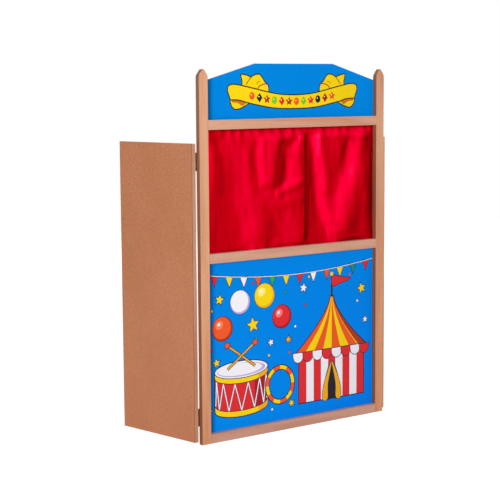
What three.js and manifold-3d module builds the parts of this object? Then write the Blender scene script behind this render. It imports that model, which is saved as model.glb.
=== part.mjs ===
// Folding puppet theatre stand for children.
// A front frame of beech laths carries two painted sheets and a pair of satin curtains.
// Two plain side wings, hung on butt hinges, stand it up and fold flat behind it.
// Millimetres, +Z up, the front faces -Y. The origin is the middle of the frame's foot.

import * as THREE from 'three';
import { mergeVertices } from 'three/addons/utils/BufferGeometryUtils.js';
import Module from 'manifold-3d';

const wasm = await Module();
wasm.setup();

// Driving dimensions

const frameWidth = 900;
const lath = { width: 40, depth: 22, arris: 1.5 };
const railWidth = 36.5;

// Clear heights of the frame's two bays, and how far the posts run on above the top rail
const bay = { lower: 645.5, stage: 459.5 };
const postHead = 185.5;
const crown = { rise: 28, tipCut: 10, shoulderCut: 6 };

// The painted sheets are fixed to the backs of the laths
const sheet = { thickness: 5, hingeClearance: 4 };
const header = { sideHeight: 139.5, slopeRise: 67, flatWidth: 380, flatShift: 10 };

const dowel = { diameter: 8, length: 60, chamfer: 1, clearance: 0.3 };
const dowelInPostShare = 0.42;

// Gap kept between two pieces that meet inside a turned group, or along a cut
const seat = 0.3;

// The wing's front edge stands forward of its pins by the overhang, beside the post
const wing = { length: 400, thickness: 18, footGap: 9, headGap: 49, overhang: 5, arris: 1 };
const wingSplay = THREE.MathUtils.degToRad(10);
const lippingWidth = 3;

const hinge = {
  height: 64, leafWidth: 22, gauge: 1.5, barrelRadius: 5, pinRadius: 2.4, boreClearance: 0.2,
  knuckleGap: 0.4, leafGap: 0.6, corner: 3, capRadius: 4, capHeight: 2, fromWingFoot: 61, fromWingHead: 35,
};
const screw = { holeRadius: 2, sinkRadius: 3.6 };

const rod = { diameter: 8, chamfer: 0.6, clearance: 0.4 };
const bracket = { width: 16, height: 36, gauge: 2, cupWall: 1.6, cupDepth: 12, cupFloor: 2, sheetClearance: 1 };

const cloth = {
  thickness: 1.6, pocketWall: 1.2, head: 6, headClearance: 4.4, hem: 16, postTuck: 8,
  meeting: 48.5, lap: 17, pocketGap: 2, gather: 60, railClearance: 0.4, wingClearance: 0.5,
  billow: 5, billowRun: 110, sideRun: 40,
};
// The curtains only lap where the gathers have parted them by this share of their depth
const lapStartShare = 0.4;

// Main folds of each curtain, from its outer edge to its leading edge:
// place at the head and at the hem as shares of the width, then how far forward the cloth stands
const leftFoldShares = [
  [0, 0, 0], [0.06, 0.05, 0.7], [0.2, 0.29, 0.1], [0.43, 0.5, 0.9],
  [0.53, 0.58, 0.25], [0.71, 0.65, 1], [0.83, 0.75, 0.1], [1, 1, 0.85],
];
const rightFoldShares = [
  [0, 0, 0], [0.08, 0.12, 0.6], [0.13, 0.21, 0.15], [0.22, 0.32, 0.9],
  [0.41, 0.52, 0.15], [0.71, 0.64, 0.95], [0.85, 0.77, 0.05], [1, 1, 0],
];

// Counts of facets

const arcSteps = 4;
const roundSides = 16;
const dowelSides = 12;
const knuckleCount = 5;
const screwsPerLeaf = 3;
const stepsPerFold = 5;
const bodyLevels = 8;
const pocketSteps = 6;

// Heights and planes worked out from the driving dimensions

const half = 0.5;
const quarter = 0.25;
const backFace = lath.depth * half;
const postInner = frameWidth * half - lath.width;
const middleRailFoot = railWidth + bay.lower;
const sillTop = middleRailFoot + railWidth;
const topRailFoot = sillTop + bay.stage;
const topRailTop = topRailFoot + railWidth;
const postHeight = topRailTop + postHead;

const sheetLap = lath.width - hinge.leafWidth - sheet.hingeClearance;
const sheetHalfWidth = postInner + sheetLap;
const headerFoot = topRailTop - sheetLap;

const pinY = backFace + hinge.barrelRadius;
const wingHead = topRailFoot - wing.headGap;
const foldedWingFace = pinY + hinge.barrelRadius + seat;

const pocketRadius = rod.diameter * half + rod.clearance + cloth.pocketWall;
const rodY = backFace + cloth.railClearance + pocketRadius;
const rodZ = headerFoot - cloth.headClearance - cloth.head - pocketRadius;
const bracketX = sheetHalfWidth + bracket.sheetClearance + bracket.width * half;

// Finishes

const finishes = {
  beech: { color: 0xdca582, roughness: 0.5, metalness: 0 },
  beechShade: { color: 0xc99273, roughness: 0.55, metalness: 0 },
  bluePaint: { color: 0x0478d8, roughness: 0.35, metalness: 0 },
  fibreboard: { color: 0xad6e4f, roughness: 0.8, metalness: 0 },
  satin: { color: 0xd00018, roughness: 0.35, metalness: 0 },
  darkSteel: { color: 0x2c1d1a, roughness: 0.45, metalness: 0.8 },
  brightSteel: { color: 0xb9b9b6, roughness: 0.35, metalness: 1 },
};

const stand = new THREE.Group();

function addPiece(parent, name, geometry, finish) {
  const mesh = new THREE.Mesh(geometry, new THREE.MeshStandardMaterial(finishes[finish]));
  mesh.name = name;
  parent.add(mesh);
  return mesh;
}

// Booleans

function toManifold(geometry) {
  const bare = geometry.clone();
  bare.deleteAttribute('normal');
  bare.deleteAttribute('uv');
  const merged = mergeVertices(bare);
  return new wasm.Manifold(new wasm.Mesh({
    numProp: 3,
    vertProperties: new Float32Array(merged.attributes.position.array),
    triVerts: new Uint32Array(merged.index.array),
  }));
}

function toGeometry(manifold) {
  const mesh = manifold.getMesh();
  const geometry = new THREE.BufferGeometry();
  geometry.setAttribute('position', new THREE.BufferAttribute(mesh.vertProperties, mesh.numProp));
  geometry.setIndex(new THREE.BufferAttribute(mesh.triVerts, 1));
  return geometry;
}

function cut(geometry, tools) {
  return toGeometry(tools.reduce((body, tool) => body.subtract(toManifold(tool)), toManifold(geometry)));
}

function join(geometries) {
  const [first, ...others] = geometries.map(toManifold);
  return toGeometry(others.reduce((body, next) => body.add(next), first));
}

// Outlines and extrusions

const axisX = new THREE.Vector3(1, 0, 0);
const axisY = new THREE.Vector3(0, 1, 0);
const axisZ = new THREE.Vector3(0, 0, 1);
const acrossFrame = new THREE.Matrix4().makeBasis(axisY, axisZ, axisX);
const facingFront = new THREE.Matrix4().makeBasis(axisX, axisZ, axisY.clone().negate());
const quarterTurn = Math.PI * half;

// An outline with straight sides, whose corners are rounded over the given cut
function roundedOutline(corners) {
  const shape = new THREE.Shape();
  corners.forEach(([x, y, cutBack], i) => {
    const corner = new THREE.Vector2(x, y);
    const before = new THREE.Vector2(...corners[(i + corners.length - 1) % corners.length]);
    const after = new THREE.Vector2(...corners[(i + 1) % corners.length]);
    const start = corner.clone().add(before.sub(corner).setLength(cutBack));
    const end = corner.clone().add(after.sub(corner).setLength(cutBack));
    if (i === 0) {
      shape.moveTo(start.x, start.y);
    } else {
      shape.lineTo(start.x, start.y);
    }
    if (cutBack > 0) {
      shape.quadraticCurveTo(corner.x, corner.y, end.x, end.y);
    }
  });
  shape.closePath();
  return shape;
}

function rectangle(width, height, cutBack) {
  const x = width * half;
  const y = height * half;
  return roundedOutline([[-x, -y, cutBack], [x, -y, cutBack], [x, y, cutBack], [-x, y, cutBack]]);
}

// An outline extruded to a depth, with its edges eased, and centred on its own plane
function extrude(shape, depth, basis, arris = 0) {
  const geometry = new THREE.ExtrudeGeometry(shape, {
    depth: depth - 2 * arris,
    bevelEnabled: arris > 0,
    bevelThickness: arris,
    bevelSize: arris,
    bevelOffset: -arris,
    bevelSegments: 2,
    curveSegments: arcSteps,
  });
  geometry.translate(0, 0, arris - depth * half);
  return geometry.applyMatrix4(basis);
}

function cylinderAcross(radius, length, sides) {
  return new THREE.CylinderGeometry(radius, radius, length, sides).rotateZ(quarterTurn);
}

// Frame of laths

function dowelHeights(railFoot) {
  const middle = railFoot + railWidth * half;
  return [middle - railWidth * quarter, middle + railWidth * quarter];
}

const rails = [
  { name: 'bottom_rail', foot: 0 },
  { name: 'middle_rail', foot: middleRailFoot },
  { name: 'top_rail', foot: topRailFoot },
];
const dowelInPost = dowel.length * dowelInPostShare;
const dowelHoleRadius = dowel.diameter * half + dowel.clearance;

function dowelHole(side, height) {
  const geometry = cylinderAcross(dowelHoleRadius, dowel.length + 2 * dowel.clearance, dowelSides);
  const centre = postInner + dowelInPost - dowel.length * half;
  return geometry.translate(side * centre, 0, height);
}

function dowelPeg() {
  const radius = dowel.diameter * half;
  const tip = radius - dowel.chamfer;
  const end = dowel.length * half;
  const profile = [[0, -end], [tip, -end], [radius, dowel.chamfer - end],
    [radius, end - dowel.chamfer], [tip, end], [0, end]];
  const points = profile.map(([r, y]) => new THREE.Vector2(r, y));
  return new THREE.LatheGeometry(points, dowelSides).rotateZ(quarterTurn);
}

function postOutline() {
  const x = lath.width * half;
  const slope = Math.atan2(crown.rise, x);
  const tipDrop = crown.tipCut * Math.sin(slope) * half;
  const shoulder = postHeight + tipDrop - crown.rise;
  return roundedOutline([
    [-x, 0, 0], [x, 0, 0], [x, shoulder, crown.shoulderCut],
    [0, shoulder + crown.rise, crown.tipCut], [-x, shoulder, crown.shoulderCut],
  ]);
}

function buildPost(side, name) {
  const body = extrude(postOutline(), lath.depth, facingFront, lath.arris);
  body.translate(side * (postInner + lath.width * half), 0, 0);
  const holes = rails.flatMap(({ foot }) => dowelHeights(foot).map((height) => dowelHole(side, height)));
  addPiece(stand, name, cut(body, holes), 'beech');
}

function buildRail({ name, foot }) {
  const body = extrude(rectangle(lath.depth, railWidth, lath.arris), 2 * postInner, acrossFrame);
  body.translate(0, 0, foot + railWidth * half);
  const holes = [-1, 1].flatMap((side) => dowelHeights(foot).map((height) => dowelHole(side, height)));
  addPiece(stand, name, cut(body, holes), 'beech');
}

function buildDowels({ name, foot }) {
  for (const [side, sideName] of [[-1, 'left'], [1, 'right']]) {
    dowelHeights(foot).forEach((height, i) => {
      const x = side * (postInner + dowelInPost - dowel.length * half);
      const level = ['lower', 'upper'][i];
      addPiece(stand, `${name}_${sideName}_${level}_dowel`, dowelPeg().translate(x, 0, height), 'beechShade');
    });
  }
}

// Painted sheets

function buildLowerPanel() {
  const foot = railWidth - sheetLap;
  const head = middleRailFoot + sheetLap;
  const geometry = extrude(rectangle(2 * sheetHalfWidth, head - foot, 0), sheet.thickness, facingFront);
  geometry.translate(0, backFace + sheet.thickness * half, (foot + head) * half);
  addPiece(stand, 'lower_panel', geometry, 'bluePaint');
}

// The header's top is cut to a slope on each side of a flat that sits a little to the right
function buildHeaderPanel() {
  const side = topRailTop + header.sideHeight;
  const top = side + header.slopeRise;
  const flatLeft = header.flatShift - header.flatWidth * half;
  const flatRight = header.flatShift + header.flatWidth * half;
  const outline = roundedOutline([
    [-sheetHalfWidth, headerFoot, 0], [sheetHalfWidth, headerFoot, 0], [sheetHalfWidth, side, 0],
    [flatRight, top, 0], [flatLeft, top, 0], [-sheetHalfWidth, side, 0],
  ]);
  const geometry = extrude(outline, sheet.thickness, facingFront);
  geometry.translate(0, backFace + sheet.thickness * half, 0);
  addPiece(stand, 'header_panel', geometry, 'bluePaint');
}

// Butt hinges: each leaf is a plate whose edge is rolled into every other knuckle of the barrel.
// In a leaf's own outline u runs away from the pin and v rises from the face that carries the leaf.

function knuckleSpan(index) {
  const height = (hinge.height - (knuckleCount - 1) * hinge.knuckleGap) / knuckleCount;
  const foot = index * (height + hinge.knuckleGap) - hinge.height * half;
  return { foot, height };
}

function knuckleOutline(side, facing) {
  const place = (u, v) => new THREE.Vector2(-side * u, facing * (v - hinge.barrelRadius));
  const circle = (radius, from, turn, steps) => Array.from({ length: steps + 1 }, (_, i) => {
    const angle = from + turn * i / steps;
    return place(radius * Math.cos(angle), hinge.barrelRadius + radius * Math.sin(angle));
  });
  const plateEdge = hinge.barrelRadius + hinge.leafGap + hinge.gauge;
  const meeting = Math.asin((hinge.barrelRadius - hinge.gauge) / hinge.barrelRadius);
  const rolled = circle(hinge.barrelRadius, -quarterTurn, meeting - 3 * quarterTurn, roundSides);
  const shape = new THREE.Shape([place(plateEdge, 0), ...rolled, place(plateEdge, hinge.gauge)]);
  const bore = circle(hinge.pinRadius + hinge.boreClearance, 0, 4 * quarterTurn, roundSides);
  shape.holes.push(new THREE.Path(bore.slice(0, roundSides)));
  return shape;
}

function countersunkHole(radiusFront, radiusBack, gauge) {
  return new THREE.CylinderGeometry(radiusFront, radiusBack, gauge, dowelSides);
}

function leafGeometry(side, facing, knuckles) {
  const plateStart = hinge.barrelRadius + hinge.leafGap;
  const plateWidth = hinge.leafWidth - plateStart;
  const plateX = -side * (plateStart + plateWidth * half);
  const plateY = facing * (hinge.gauge * half - hinge.barrelRadius);
  const plate = extrude(rectangle(plateWidth, hinge.height, hinge.corner), hinge.gauge, facingFront);
  plate.translate(plateX, plateY, 0);
  const rolls = knuckles.map((index) => {
    const { foot, height } = knuckleSpan(index);
    const roll = new THREE.ExtrudeGeometry(knuckleOutline(side, facing), { depth: height, bevelEnabled: false });
    return roll.translate(0, 0, foot);
  });
  const pitch = hinge.height / screwsPerLeaf;
  const radii = facing > 0 ? [screw.sinkRadius, screw.holeRadius] : [screw.holeRadius, screw.sinkRadius];
  const holes = Array.from({ length: screwsPerLeaf }, (_, i) => (
    countersunkHole(...radii, hinge.gauge).translate(plateX, plateY, (i + half) * pitch - hinge.height * half)
  ));
  return cut(join([plate, ...rolls]), holes);
}

function pinGeometry() {
  const foot = hinge.height * half + hinge.boreClearance;
  const brow = foot + hinge.capHeight * half;
  const crownTop = foot + hinge.capHeight;
  const shoulder = hinge.capRadius * half;
  const profile = [[0, -crownTop], [shoulder, -crownTop], [hinge.capRadius, -brow], [hinge.capRadius, -foot],
    [hinge.pinRadius, -foot], [hinge.pinRadius, foot],
    [hinge.capRadius, foot], [hinge.capRadius, brow], [shoulder, crownTop], [0, crownTop]];
  const points = profile.map(([r, y]) => new THREE.Vector2(r, y));
  return new THREE.LatheGeometry(points, roundSides).rotateX(quarterTurn);
}

const knuckleIndexes = Array.from({ length: knuckleCount }, (_, i) => i);
const postKnuckles = knuckleIndexes.filter((index) => index % 2 === 0);
const wingKnuckles = knuckleIndexes.filter((index) => index % 2 === 1);
const hingeLevels = {
  lower: wing.footGap + hinge.fromWingFoot + hinge.height * half,
  upper: wingHead - hinge.fromWingHead - hinge.height * half,
};

// Side wings, each turning about its pins. At rest they stand behind the frame, splayed outwards.

function buildWing(side, name) {
  const turning = new THREE.Group();
  turning.position.set(side * frameWidth * half, pinY, 0);
  turning.rotation.z = -side * (quarterTurn + wingSplay);
  stand.add(turning);

  const height = wingHead - wing.footGap;
  const middle = (wingHead + wing.footGap) * half;
  const y = hinge.barrelRadius + seat + wing.thickness * half;
  const lippingX = lippingWidth * half - wing.overhang;
  const lipping = extrude(rectangle(lippingWidth, height, 0), wing.thickness, facingFront);
  addPiece(turning, `${name}_wing_lipping`, lipping.translate(-side * lippingX, y, middle), 'beechShade');

  const boardWidth = wing.length - lippingWidth - seat;
  const boardX = wing.length - wing.overhang - boardWidth * half;
  const board = extrude(rectangle(boardWidth, height, 0), wing.thickness, facingFront, wing.arris);
  addPiece(turning, `${name}_wing_panel`, board.translate(-side * boardX, y, middle), 'fibreboard');

  for (const [level, z] of Object.entries(hingeLevels)) {
    const stem = `${name}_${level}_hinge`;
    const wingLeaf = leafGeometry(side, -1, wingKnuckles).translate(0, 0, z);
    addPiece(turning, `${stem}_wing_leaf`, wingLeaf, 'darkSteel');
    const postLeaf = leafGeometry(side, 1, postKnuckles).translate(side * frameWidth * half, pinY, z);
    addPiece(stand, `${stem}_post_leaf`, postLeaf, 'darkSteel');
    const pin = pinGeometry().translate(side * frameWidth * half, pinY, z);
    addPiece(stand, `${stem}_pin`, pin, 'darkSteel');
  }
}

// Curtain rod in two cups on the backs of the posts

const cupBore = rod.diameter * half + rod.clearance;
const cupOuter = cupBore + bracket.cupWall;
const cupLength = bracket.cupDepth + bracket.cupFloor;
const rodHalfLength = bracketX + cupLength * half - bracket.cupFloor - seat;

function buildRod() {
  const radius = rod.diameter * half;
  const tip = radius - rod.chamfer;
  const profile = [[0, -rodHalfLength], [tip, -rodHalfLength], [radius, rod.chamfer - rodHalfLength],
    [radius, rodHalfLength - rod.chamfer], [tip, rodHalfLength], [0, rodHalfLength]];
  const points = profile.map(([r, y]) => new THREE.Vector2(r, y));
  const geometry = new THREE.LatheGeometry(points, roundSides).rotateZ(quarterTurn);
  addPiece(stand, 'curtain_rod', geometry.translate(0, rodY, rodZ), 'brightSteel');
}

function buildBracket(side, name) {
  const profile = [[0, 0], [cupOuter, 0], [cupOuter, cupLength], [cupBore, cupLength],
    [cupBore, bracket.cupFloor], [0, bracket.cupFloor]];
  const points = profile.map(([r, y]) => new THREE.Vector2(r, y - cupLength * half));
  const cup = new THREE.LatheGeometry(points, roundSides).rotateZ(side * quarterTurn);
  cup.translate(side * bracketX, rodY, rodZ);
  const plateY = backFace + bracket.gauge * half;
  const plate = extrude(rectangle(bracket.width, bracket.height, hinge.corner), bracket.gauge, facingFront);
  plate.translate(side * bracketX, plateY, rodZ);
  const clearOfCup = cut(plate, [cylinderAcross(cupBore, bracket.width + seat, roundSides)
    .translate(side * bracketX, rodY, rodZ)]);
  const screwReach = (bracket.height * half + cupOuter) * half;
  const holes = [-1, 1].map((end) => countersunkHole(screw.sinkRadius, screw.holeRadius, bracket.gauge)
    .translate(side * bracketX, plateY, rodZ + end * screwReach));
  addPiece(stand, `${name}_rod_bracket`, cut(join([clearOfCup, cup]), holes), 'brightSteel');
}

// Curtains: a sheet hung from a pocket on the rod, gathered below it into folds that spread to the hem

const gatherTop = rodZ - pocketRadius;
const hemZ = sillTop - cloth.hem;
const clothBack = foldedWingFace - cloth.wingClearance - cloth.thickness * half;
const tuckedReach = clothBack - backFace - cloth.railClearance - cloth.thickness * half;

function ease(share) {
  const t = THREE.MathUtils.clamp(share, 0, 1);
  return half - half * Math.cos(Math.PI * t);
}

// Each level is a height and the cloth's half thickness there, from the hem up to the head
function curtainLevels() {
  const levels = [];
  for (let i = 0; i < bodyLevels; i += 1) {
    const z = hemZ + (gatherTop - cloth.gather * half - hemZ) * i / (bodyLevels - 1);
    levels.push({ z, ply: cloth.thickness * half });
  }
  for (let i = 0; i <= pocketSteps; i += 1) {
    const angle = Math.PI * i / pocketSteps - quarterTurn;
    const ply = Math.max(cloth.thickness * half, pocketRadius * Math.cos(angle));
    levels.push({ z: rodZ + pocketRadius * Math.sin(angle), ply });
  }
  levels.push({ z: rodZ + pocketRadius + cloth.head, ply: cloth.thickness * half });
  return levels;
}

function hangAt(z) {
  return ease((gatherTop - z) / cloth.gather);
}

// Depth of the cloth's middle: behind the rails it is tucked in, in the open stage it billows forward
function clothY(forward, inset, z) {
  const aboveSill = ease((z - sillTop - cloth.hem * half) / cloth.billowRun);
  const belowRail = ease((topRailFoot - z) / cloth.billowRun);
  const besidePost = ease((inset - cloth.postTuck) / cloth.sideRun);
  const reach = tuckedReach + cloth.billow * Math.min(aboveSill, belowRail, besidePost);
  return THREE.MathUtils.lerp(rodY, clothBack - reach * forward, hangAt(z));
}

function foldAt(foldShares, step, drop) {
  const index = Math.min(Math.floor(step / stepsPerFold), foldShares.length - 2);
  const t = step / stepsPerFold - index;
  const [a, b] = [foldShares[index], foldShares[index + 1]];
  const from = THREE.MathUtils.lerp(a[0], a[1], drop);
  const to = THREE.MathUtils.lerp(b[0], b[1], drop);
  return { place: from + (to - from) * t, forward: a[2] + (b[2] - a[2]) * ease(t) };
}

// The two pockets meet edge to edge on the rod, and below the gathers the curtains lap
function leadingEdge(side, z) {
  const lapped = ease((hangAt(z) - lapStartShare) / (1 - lapStartShare));
  return cloth.meeting - side * THREE.MathUtils.lerp(-cloth.pocketGap, cloth.lap, lapped) * half;
}

function curtainSkin(side, foldShares) {
  const levels = curtainLevels();
  const stations = (foldShares.length - 1) * stepsPerFold + 1;
  const outerEdge = side * (postInner + cloth.postTuck);
  const positions = [];
  for (const { z, ply } of levels) {
    const drop = THREE.MathUtils.clamp((gatherTop - z) / (gatherTop - hemZ), 0, 1);
    const width = side * (outerEdge - leadingEdge(side, z));
    for (let i = 0; i < stations; i += 1) {
      const { place, forward } = foldAt(foldShares, i, drop);
      const y = clothY(forward, place * width, z);
      const x = outerEdge - side * place * width;
      positions.push(x, y - ply, z, x, y + ply, z);
    }
  }
  const index = [];
  const vertex = (level, station, back) => 2 * (level * stations + station) + back;
  const quad = (a, b, c, d) => index.push(...(side < 0 ? [a, b, c, a, c, d] : [a, c, b, a, d, c]));
  const lastStation = stations - 1;
  const lastLevel = levels.length - 1;
  for (let j = 0; j < lastLevel; j += 1) {
    for (let i = 0; i < lastStation; i += 1) {
      quad(vertex(j, i, 0), vertex(j, i + 1, 0), vertex(j + 1, i + 1, 0), vertex(j + 1, i, 0));
      quad(vertex(j, i + 1, 1), vertex(j, i, 1), vertex(j + 1, i, 1), vertex(j + 1, i + 1, 1));
    }
    quad(vertex(j, 0, 1), vertex(j, 0, 0), vertex(j + 1, 0, 0), vertex(j + 1, 0, 1));
    quad(vertex(j, lastStation, 0), vertex(j, lastStation, 1),
      vertex(j + 1, lastStation, 1), vertex(j + 1, lastStation, 0));
  }
  for (let i = 0; i < lastStation; i += 1) {
    quad(vertex(0, i, 1), vertex(0, i + 1, 1), vertex(0, i + 1, 0), vertex(0, i, 0));
    quad(vertex(lastLevel, i, 0), vertex(lastLevel, i + 1, 0),
      vertex(lastLevel, i + 1, 1), vertex(lastLevel, i, 1));
  }
  const geometry = new THREE.BufferGeometry();
  geometry.setAttribute('position', new THREE.Float32BufferAttribute(positions, 3));
  geometry.setIndex(index);
  return geometry;
}

function buildCurtain(side, name, foldShares) {
  const bore = cylinderAcross(rod.diameter * half + rod.clearance, 2 * frameWidth, dowelSides);
  addPiece(stand, `${name}_curtain`, cut(curtainSkin(side, foldShares), [bore.translate(0, rodY, rodZ)]), 'satin');
}

// Assembly

for (const [side, name] of [[-1, 'left'], [1, 'right']]) {
  buildPost(side, `${name}_post`);
  buildWing(side, name);
  buildBracket(side, name);
}
for (const rail of rails) {
  buildRail(rail);
  buildDowels(rail);
}
buildHeaderPanel();
buildLowerPanel();
buildRod();
buildCurtain(-1, 'left', leftFoldShares);
buildCurtain(1, 'right', rightFoldShares);

export default stand;
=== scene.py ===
"""Looks of the folding puppet theatre stand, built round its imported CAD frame. Metres."""

from math import cos, exp, pi, radians, sin

import bmesh
import bpy
from mathutils import Matrix, Vector, noise
from mathutils.geometry import delaunay_2d_cdt


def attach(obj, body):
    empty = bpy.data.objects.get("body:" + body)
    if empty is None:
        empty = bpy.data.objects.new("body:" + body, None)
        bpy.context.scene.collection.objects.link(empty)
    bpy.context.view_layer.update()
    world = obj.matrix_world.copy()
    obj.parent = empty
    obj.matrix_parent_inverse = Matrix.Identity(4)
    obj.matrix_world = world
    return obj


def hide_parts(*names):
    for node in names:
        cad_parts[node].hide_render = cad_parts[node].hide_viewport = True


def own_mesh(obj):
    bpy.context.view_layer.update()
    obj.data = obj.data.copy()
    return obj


MM = 0.001
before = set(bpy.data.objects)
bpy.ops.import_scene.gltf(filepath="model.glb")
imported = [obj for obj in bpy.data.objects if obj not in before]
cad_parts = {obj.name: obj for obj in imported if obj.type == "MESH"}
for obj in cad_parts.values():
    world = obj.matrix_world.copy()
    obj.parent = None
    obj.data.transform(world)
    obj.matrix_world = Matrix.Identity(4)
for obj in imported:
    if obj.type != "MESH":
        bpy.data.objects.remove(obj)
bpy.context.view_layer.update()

# Places that the CAD source fixes, in millimetres
BACK_FACE = 11.0
SHEET_BACK = 16.0
POST_INNER = 410.0
SILL_TOP = 718.5
TOP_RAIL_FOOT = 1178.0
PIN_X, PIN_Y = 450.0, 16.0
WING_TURN = radians(100)
ROD_Y, ROD_Z = 17.0, 1184.5
HINGE_MIDDLES = (102.0, 1062.0)
HINGE_HEIGHT = 64.0


def linear(r, g, b):
    """A colour written in 0 to 255 as Blender's linear values."""
    parts = (v / 255 for v in (r, g, b))
    return tuple(p / 12.92 if p <= 0.04045 else ((p + 0.055) / 1.055) ** 2.4 for p in parts) + (1.0,)


def linked(name, data):
    made = bpy.data.objects.new(name, data)
    bpy.context.scene.collection.objects.link(made)
    return made


# Camera

LENS, SENSOR = 99.238, 36.0
EYE = Vector((-3.29475, -4.17884, 1.34461))
YAW, PITCH, ROLL = (radians(v) for v in (36.3812, 6.8663, -0.3833))


def place_camera():
    camera = linked("camera", bpy.data.cameras.new("camera"))
    camera.data.lens, camera.data.sensor_width = LENS, SENSOR
    camera.data.clip_start, camera.data.clip_end = 0.1, 100
    forward = Vector((sin(YAW) * cos(PITCH), cos(YAW) * cos(PITCH), -sin(PITCH)))
    level = Vector((cos(YAW), -sin(YAW), 0))
    above = level.cross(forward)
    right = cos(ROLL) * level + sin(ROLL) * above
    up = cos(ROLL) * above - sin(ROLL) * level
    turn = Matrix((right, up, -forward)).transposed().to_4x4()
    camera.matrix_world = Matrix.Translation(EYE) @ turn
    bpy.context.scene.camera = camera


# Node trees


def emptied_tree(owner):
    owner.use_nodes = True
    owner.node_tree.nodes.clear()
    return owner.node_tree


def add_node(tree, kind, inputs=(), output=0, **settings):
    """A node with its inputs linked or given as values; returns one of its outputs."""
    made = tree.nodes.new("ShaderNode" + kind)
    for key, value in settings.items():
        setattr(made, key, value)
    for socket, value in dict(inputs).items():
        if isinstance(value, bpy.types.NodeSocket):
            tree.links.new(value, made.inputs[socket])
        else:
            made.inputs[socket].default_value = value
    return made.outputs[output]


class Finish:
    """One material, with short calls for the nodes it is made of."""

    def __init__(self, name, roughness, metallic=0.0, gloss=0.5):
        self.material = bpy.data.materials.new(name)
        self.tree = emptied_tree(self.material)
        self.shader = self.tree.nodes.new("ShaderNodeBsdfPrincipled")
        settings = {"Roughness": roughness, "Metallic": metallic, "Specular IOR Level": gloss}
        for socket, value in settings.items():
            self.shader.inputs[socket].default_value = value
        output = self.tree.nodes.new("ShaderNodeOutputMaterial")
        self.tree.links.new(self.shader.outputs[0], output.inputs[0])
        place = self.tree.nodes.new("ShaderNodeTexCoord")
        self.point, self.normal = place.outputs["Object"], place.outputs["Normal"]

    def node(self, *call, **settings):
        return add_node(self.tree, *call, **settings)

    def math(self, operation, a, b=0.0):
        return self.node("Math", {0: a, 1: b}, operation=operation)

    def noise(self, cells, shift=(0.0, 0.0, 0.0), detail=2, roughness=0.5, distortion=0.0):
        """Noise in the object's own coordinates, so many cells to the metre along each axis."""
        place = self.node("Mapping", {"Vector": self.point, "Scale": cells, "Location": shift})
        inputs = {"Vector": place, "Scale": 1.0, "Detail": detail, "Roughness": roughness}
        return self.node("TexNoise", inputs | {"Distortion": distortion})

    def ramp(self, value, low, high, to_low=0.0, to_high=1.0, course="SMOOTHSTEP"):
        """From one value to another as the input goes from low to high."""
        inputs = {"Value": value, "From Min": low, "From Max": high, "To Min": to_low, "To Max": to_high}
        return self.node("MapRange", inputs, interpolation_type=course)

    def mix(self, share, a, b, blend="MIX"):
        return self.node("Mix", {0: share, 6: a, 7: b}, output=2, data_type="RGBA", blend_type=blend)

    def axis(self, vector, letter):
        return self.node("SeparateXYZ", {0: vector}, output="XYZ".index(letter))

    def set(self, socket, value):
        self.tree.links.new(value, self.shader.inputs[socket])

    def bump(self, height, distance, strength):
        made = self.node("Bump", {"Height": height, "Distance": distance, "Strength": strength})
        self.set("Normal", made)


def grain_scales(grain, along, across):
    return tuple(along if letter == grain else across for letter in "XYZ")


BEECH_LIGHT = linear(224, 170, 134)
BEECH_DEEP = linear(204, 142, 106)
BEECH_FLECK = linear(150, 92, 62)
BEECH_END = linear(186, 128, 90)
BEECH_SIDE_PAINTED_SHADE = linear(138, 84, 58)
BEECH_TOP_PAINTED_LIGHT = linear(236, 214, 210)
WARM_FOOT = (1.0, 0.91, 0.79, 1.0)


def beech(name, along, tone, seed):
    """Lacquered beech: broad streaks, fine growth lines and short dark ray flecks along the grain.

    Upright laths have their sides darkened as painted shade, and a warmer foot; level ones have their upper
    face made paler as painted light.
    """
    made = Finish(name, roughness=0.42, gloss=0.3)
    shift = (seed * 0.37, seed * 0.53, seed * 0.71)
    streaks = made.noise(grain_scales(along, 1.6, 24), shift, detail=3, distortion=0.6)
    lines = made.noise(grain_scales(along, 7, 420), shift, detail=4, roughness=0.6)
    flecks = made.noise(grain_scales(along, 260, 1500), shift, detail=1)
    colour = made.mix(made.ramp(streaks, 0.3, 0.7), BEECH_LIGHT, BEECH_DEEP)
    colour = made.mix(made.ramp(lines, 0.5, 0.8, 0, 0.4), colour, BEECH_FLECK)
    fleck = made.ramp(flecks, 0.6, 0.72, 0, 0.55)
    colour = made.mix(fleck, colour, BEECH_FLECK)
    end = made.ramp(made.math("ABSOLUTE", made.axis(made.normal, along)), 0.45, 0.8)
    pores = made.noise((900, 900, 900), shift)
    end_colour = made.mix(made.ramp(pores, 0.4, 0.65), BEECH_END, BEECH_FLECK)
    colour = made.mix(made.math("MULTIPLY", end, 0.55), colour, end_colour)
    if along == "Z":
        # Painted shade: the faces turned to either side are darkened.
        side = made.ramp(made.math("ABSOLUTE", made.axis(made.normal, "X")), 0.6, 0.95, 0, 0.72)
        colour = made.mix(side, colour, BEECH_SIDE_PAINTED_SHADE)
        warm = made.ramp(made.axis(made.point, "Z"), 0.2, 1.0, 1, 0)
        colour = made.mix(warm, colour, WARM_FOOT, "MULTIPLY")
    if along == "X":
        # Painted light: the upper face is made paler.
        upper = made.ramp(made.axis(made.normal, "Z"), 0.6, 0.95, 0, 0.45)
        colour = made.mix(upper, colour, BEECH_TOP_PAINTED_LIGHT)
    made.set("Base Color", made.mix(1.0, colour, (*tone, 1.0), "MULTIPLY"))
    made.set("Roughness", made.ramp(lines, 0.3, 0.8, 0.36, 0.5))
    made.bump(made.math("ADD", lines, made.math("MULTIPLY", fleck, -0.6)), 0.0003, 0.5)
    return made.material


FIBRE_MID = linear(230, 153, 112)
FIBRE_WARM = linear(222, 145, 102)
FIBRE_DARK = linear(176, 106, 70)
FIBRE_LIGHT = linear(242, 184, 142)
FIBRE_FOOT = linear(236, 160, 122)
PAINT_ROUGHNESS, BARE_ROUGHNESS = 0.34, 0.75


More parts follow.
